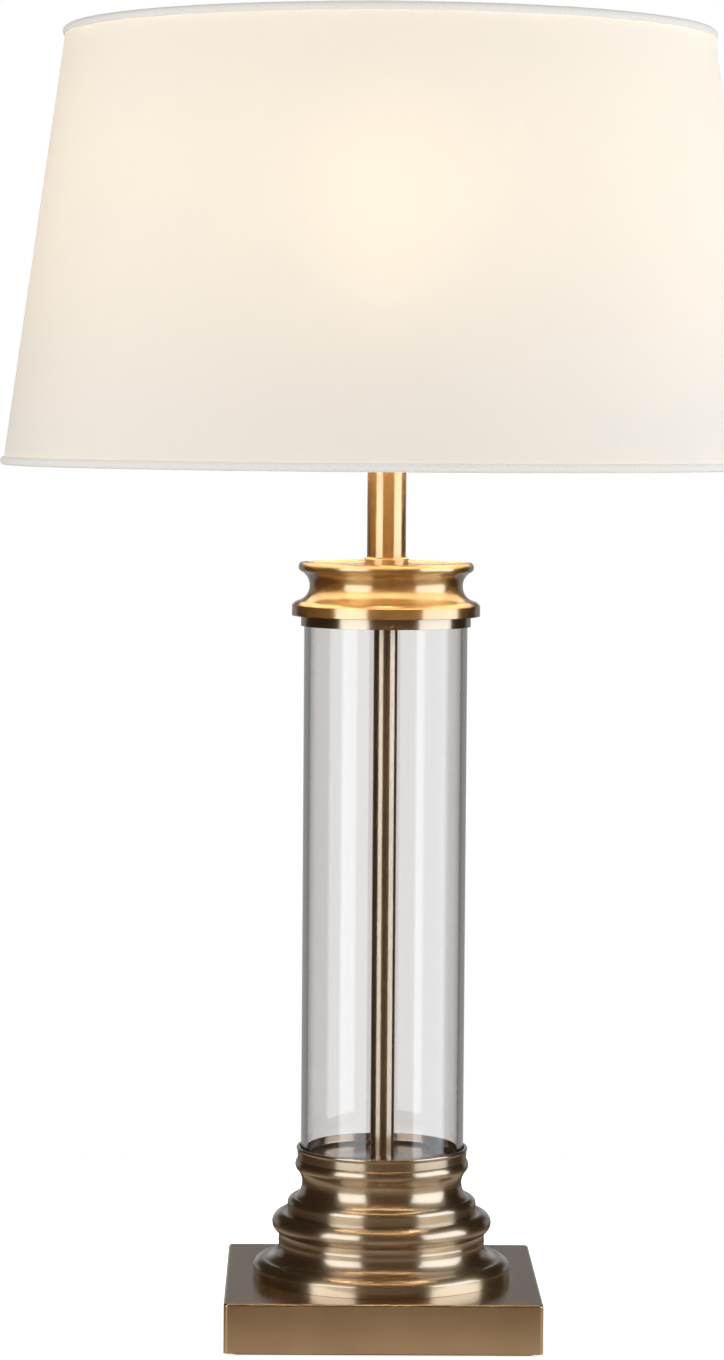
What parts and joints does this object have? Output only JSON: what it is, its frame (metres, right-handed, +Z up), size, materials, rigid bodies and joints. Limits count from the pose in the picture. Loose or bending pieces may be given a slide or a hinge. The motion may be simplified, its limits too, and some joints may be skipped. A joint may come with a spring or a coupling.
{
  "type": "table lamp",
  "caption": "Table lamp with a square plinth, moulded brass pedestal, clear glass column with an inner rod, brass cap and tapered fabric drum shade on a screw lampholder.",
  "frame": {"origin": "centre of the base's footprint, on the table under the lamp's axis", "axes": "+Z up the column, -Y towards the viewer, +Y towards the cord inlet in the plinth's rear wall"},
  "size_m": [0.32, 0.32, 0.54],
  "materials": {
    "antique_brass": "antique brass, satin with fine brushing, clear lacquer",
    "plain_brass": "plain stamped brass",
    "bulb_metal": "bright drawn metal",
    "zinc_steel": "zinc plated",
    "cast_iron": "rough, painted black",
    "clear_glass": "clear, polished",
    "opal_bulb": "opal white, lit warm",
    "seal_rubber": "translucent grey",
    "black_plastic": "satin black",
    "cream_plastic": "moulded, satin",
    "white_wire": "white powder coat",
    "shade_fabric": "cream woven fabric on a stiff white backing",
    "trim_tape": "woven tape, pale grey cream",
    "felt": "black felt"
  },
  "bodies": {
    "stand": {"base_pad": "felt", "cover_plate": "zinc_steel", "ballast_weight": "cast_iron", "plinth": "antique_brass", "cord_bush": "black_plastic", "base_washer": "zinc_steel", "lock_washer": "zinc_steel", "base_nut": "zinc_steel", "column_rod": "antique_brass", "pedestal_foot": "antique_brass", "pedestal_neck": "antique_brass", "lower_glass_cup": "antique_brass", "lower_glass_seal": "seal_rubber", "glass_tube": "clear_glass", "upper_glass_seal": "seal_rubber", "upper_glass_cup": "antique_brass", "column_cap": "antique_brass", "cap_washer": "zinc_steel", "cap_nut": "zinc_steel", "stem_collar": "antique_brass", "stem_sleeve": "antique_brass", "holder_cap": "antique_brass", "grub_screw": "zinc_steel", "holder_insert": "cream_plastic", "terminal_screws": "zinc_steel", "centre_contact": "plain_brass", "screw_shell": "plain_brass", "holder_skirt": "antique_brass", "lower_shade_ring": "antique_brass"},
    "switch": {"switch_bar": "black_plastic"},
    "clamp_ring": {"shade_clamp_ring": "antique_brass"},
    "shade": {"shade_cover": "shade_fabric", "shade_bottom_wire": "white_wire", "shade_top_wire": "white_wire", "shade_bottom_trim": "trim_tape", "shade_top_trim": "trim_tape", "fitter_hub": "white_wire", "fitter_arms": "white_wire"},
    "bulb": {"bulb_globe": "opal_bulb", "bulb_cap": "bulb_metal", "bulb_insulator": "black_plastic", "bulb_tip": "bulb_metal"}
  },
  "joints": [
    {"name": "switch_push", "type": "slide", "parent": "stand", "child": "switch", "axis": [-1, 0, 0], "range_m": [0, 0.006]},
    {"name": "clamp_ring_unscrew", "type": "slide", "parent": "stand", "child": "clamp_ring", "axis": [0, 0, 1], "range_m": [0, 0.012]},
    {"name": "shade_turn", "type": "hinge", "parent": "stand", "child": "shade", "pos_m": [0, 0, 0.402], "axis": [0, 0, 1], "continuous": true},
    {"name": "bulb_unscrew", "type": "slide", "parent": "stand", "child": "bulb", "axis": [0, 0, 1], "range_m": [0, 0.028]}
  ]
}
